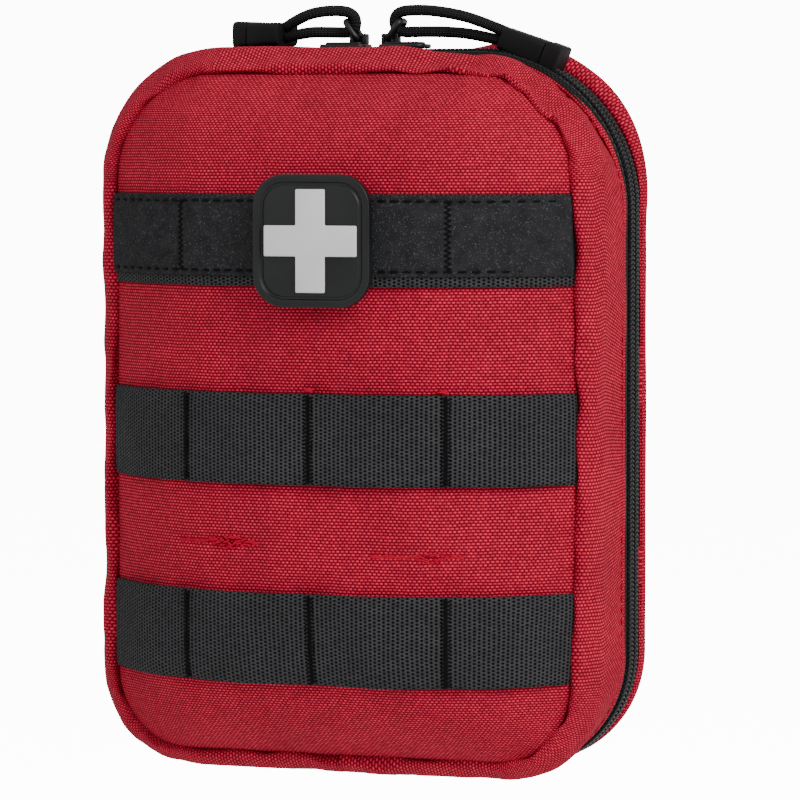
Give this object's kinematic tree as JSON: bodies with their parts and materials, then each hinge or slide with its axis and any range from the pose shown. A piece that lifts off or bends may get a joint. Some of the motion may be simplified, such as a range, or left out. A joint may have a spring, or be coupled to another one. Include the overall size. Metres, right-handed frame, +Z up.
{
  "type": "first aid kit pouch",
  "caption": "Upright soft zippered clamshell first aid pouch with woven webbing rows, a hook-and-loop cross patch, corded zipper pulls, rear mounting straps and stored supplies.",
  "frame": {"origin": "middle of the base, on the fold where the front shell hinges and in the plane of the zipper", "axes": "+X to the pouch's right as seen from its front, +Y towards its back panel, +Z up its height"},
  "size_m": [0.1556, 0.089, 0.2178],
  "materials": {
    "red_nylon": "matte coarse plain weave",
    "lining_nylon": "matte thin coated weave",
    "black_mesh": "matte open mesh",
    "black_elastic": "matte ribbed elastic",
    "zipper_tape": "matte twill tape",
    "zipper_coil": "semi-matte nylon coil",
    "black_webbing": "matte woven webbing",
    "loop_pile": "matte brushed loop pile",
    "hook_tape": "matte moulded hooks",
    "black_rubber": "soft satin moulding",
    "grey_rubber": "soft satin moulding",
    "black_metal": "semi-gloss paint",
    "braided_cord": "matte braid",
    "grip_plastic": "matte moulding",
    "bandage_gauze": "crepe weave in clear film",
    "adhesive_tape": "matte woven tape",
    "card": "matte card",
    "pack_film": "satin film pouch"
  },
  "bodies": {
    "back_shell": {"back_panel": "red_nylon", "back_gusset": "red_nylon", "back_lining": "lining_nylon", "hinge_gusset": "red_nylon", "zipper_tape_back": "zipper_tape", "zipper_coil_back": "zipper_coil", "rear_webbing_top": "black_webbing", "rear_webbing_middle": "black_webbing", "rear_webbing_bottom": "black_webbing", "strap_anchor_left": "black_webbing", "strap_anchor_right": "black_webbing", "snap_stud_left": "black_metal", "snap_stud_right": "black_metal", "elastic_loop_left": "black_elastic", "elastic_loop_centre": "black_elastic", "elastic_loop_right": "black_elastic", "bandage_left": "bandage_gauze", "bandage_centre": "bandage_gauze", "tape_roll": "adhesive_tape", "tape_core": "card", "mesh_pocket": "black_mesh", "pocket_binding": "black_elastic", "wound_dressing": "pack_film", "wipes_pack": "pack_film", "plaster_pack": "pack_film"},
    "front_shell": {"front_panel": "red_nylon", "front_gusset": "red_nylon", "front_lining": "lining_nylon", "lid_pocket_mesh": "black_mesh", "lid_pocket_binding": "black_elastic", "zipper_tape_front": "zipper_tape", "zipper_coil_front": "zipper_coil", "loop_backing": "black_webbing", "loop_strip": "loop_pile", "webbing_middle": "black_webbing", "webbing_bottom": "black_webbing"},
    "patch": {"patch_base": "black_rubber", "patch_cross": "grey_rubber", "patch_hook_backing": "hook_tape"},
    "slider_left": {"slider_left": "black_metal"},
    "bail_left": {"bail_left": "black_metal"},
    "pull_left": {"pull_cord_left": "braided_cord", "grip_body_left": "grip_plastic", "grip_cap_left": "grip_plastic"},
    "strap_left": {"strap_left": "black_webbing", "snap_socket_left": "black_metal", "snap_cap_left": "black_metal"},
    "slider_right": {"slider_right": "black_metal"},
    "bail_right": {"bail_right": "black_metal"},
    "pull_right": {"pull_cord_right": "braided_cord", "grip_body_right": "grip_plastic", "grip_cap_right": "grip_plastic"},
    "strap_right": {"strap_right": "black_webbing", "snap_socket_right": "black_metal", "snap_cap_right": "black_metal"}
  },
  "joints": [
    {"name": "lid_hinge", "type": "hinge", "parent": "back_shell", "child": "front_shell", "pos_m": [0, 0, 0], "axis": [1, 0, 0], "range_deg": [0, 180]},
    {"name": "patch_pull", "type": "slide", "parent": "front_shell", "child": "patch", "axis": [0, -1, 0], "range_m": [0, 0.06]},
    {"name": "slider_left_slide", "type": "slide", "parent": "back_shell", "child": "slider_left", "axis": [-1, 0, 0], "range_m": [0, 0.016]},
    {"name": "bail_left_tilt", "type": "hinge", "parent": "slider_left", "child": "bail_left", "pos_m": [-0.0045, 0, 0.2075], "axis": [0, 1, 0], "range_deg": [0, 25]},
    {"name": "pull_left_tilt", "type": "hinge", "parent": "bail_left", "child": "pull_left", "pos_m": [-0.0084, 0, 0.21307], "axis": [0, 1, 0], "range_deg": [0, 90]},
    {"name": "strap_left_open", "type": "hinge", "parent": "back_shell", "child": "strap_left", "pos_m": [-0.038, 0.0233, 0.18015], "axis": [1, 0, 0], "range_deg": [0, 150]},
    {"name": "slider_right_slide", "type": "slide", "parent": "back_shell", "child": "slider_right", "axis": [1, 0, 0], "range_m": [0, 0.016]},
    {"name": "bail_right_tilt", "type": "hinge", "parent": "slider_right", "child": "bail_right", "pos_m": [0.0045, 0, 0.2075], "axis": [0, -1, 0], "range_deg": [0, 25]},
    {"name": "pull_right_tilt", "type": "hinge", "parent": "bail_right", "child": "pull_right", "pos_m": [0.0084, 0, 0.21307], "axis": [0, -1, 0], "range_deg": [0, 90]},
    {"name": "strap_right_open", "type": "hinge", "parent": "back_shell", "child": "strap_right", "pos_m": [0.038, 0.0233, 0.18015], "axis": [1, 0, 0], "range_deg": [0, 150]}
  ]
}
